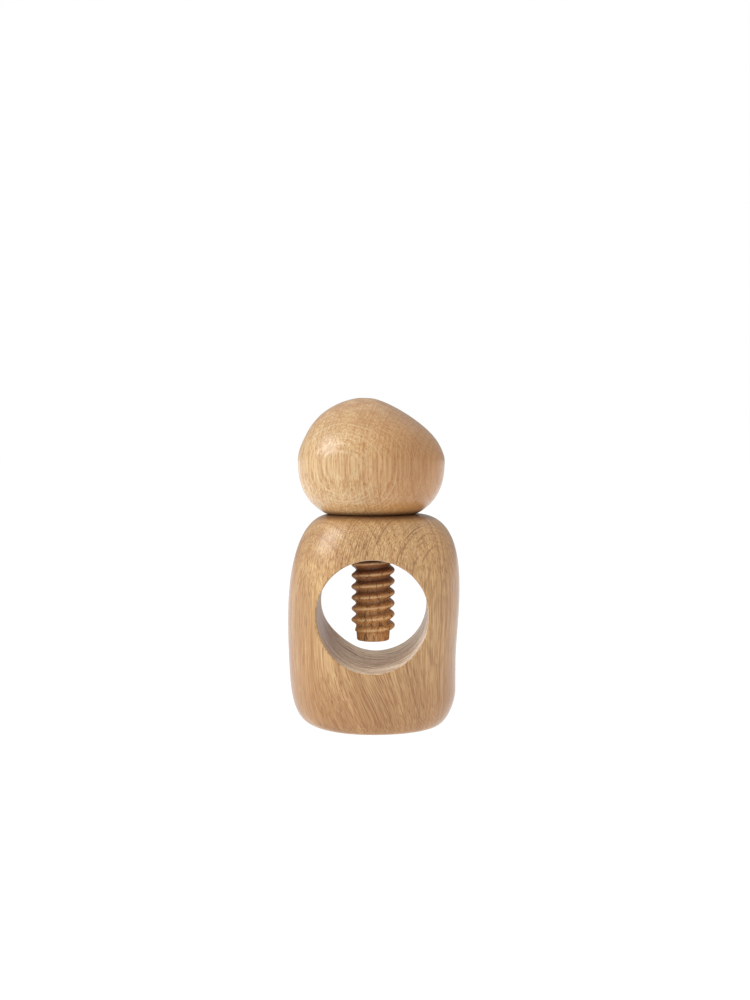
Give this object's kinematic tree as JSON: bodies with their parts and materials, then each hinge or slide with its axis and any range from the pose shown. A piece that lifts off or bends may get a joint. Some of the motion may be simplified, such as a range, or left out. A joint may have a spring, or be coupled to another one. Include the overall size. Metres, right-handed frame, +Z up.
{
  "type": "screw nutcracker",
  "caption": "Rounded wooden block with a round nut chamber bored through it and a pebble-shaped knob that turns a coarse wooden screw down onto the nut.",
  "frame": {"origin": "on the screw's axis, in the flat face that the body stands on", "axes": "+Z up along the screw; the nut chamber runs along Y, and its front mouth faces -Y; +X to the right seen from the front"},
  "size_m": [0.0774, 0.0623, 0.1463],
  "materials": {
    "body_oak": "oiled oak, satin",
    "knob_oak": "oiled light oak, satin",
    "screw_wood": "dark close-grained wood, bare",
    "dowel_wood": "plain beech"
  },
  "bodies": {
    "block": {"body": "body_oak"},
    "carriage": {"dowel": "dowel_wood"},
    "handle": {"knob": "knob_oak", "screw": "screw_wood"}
  },
  "joints": [
    {"name": "screw_advance", "type": "slide", "parent": "block", "child": "carriage", "axis": [0, 0, 1], "range_m": [0, 0.0401]},
    {"name": "screw_turn", "type": "hinge", "parent": "carriage", "child": "handle", "pos_m": [0, 0, 0.094], "axis": [0, 0, 1], "range_deg": [0, 2880]}
  ],
  "couplings": [
    {"joint": "screw_advance", "follows": "screw_turn", "m_per_rad": 0.00079577}
  ]
}
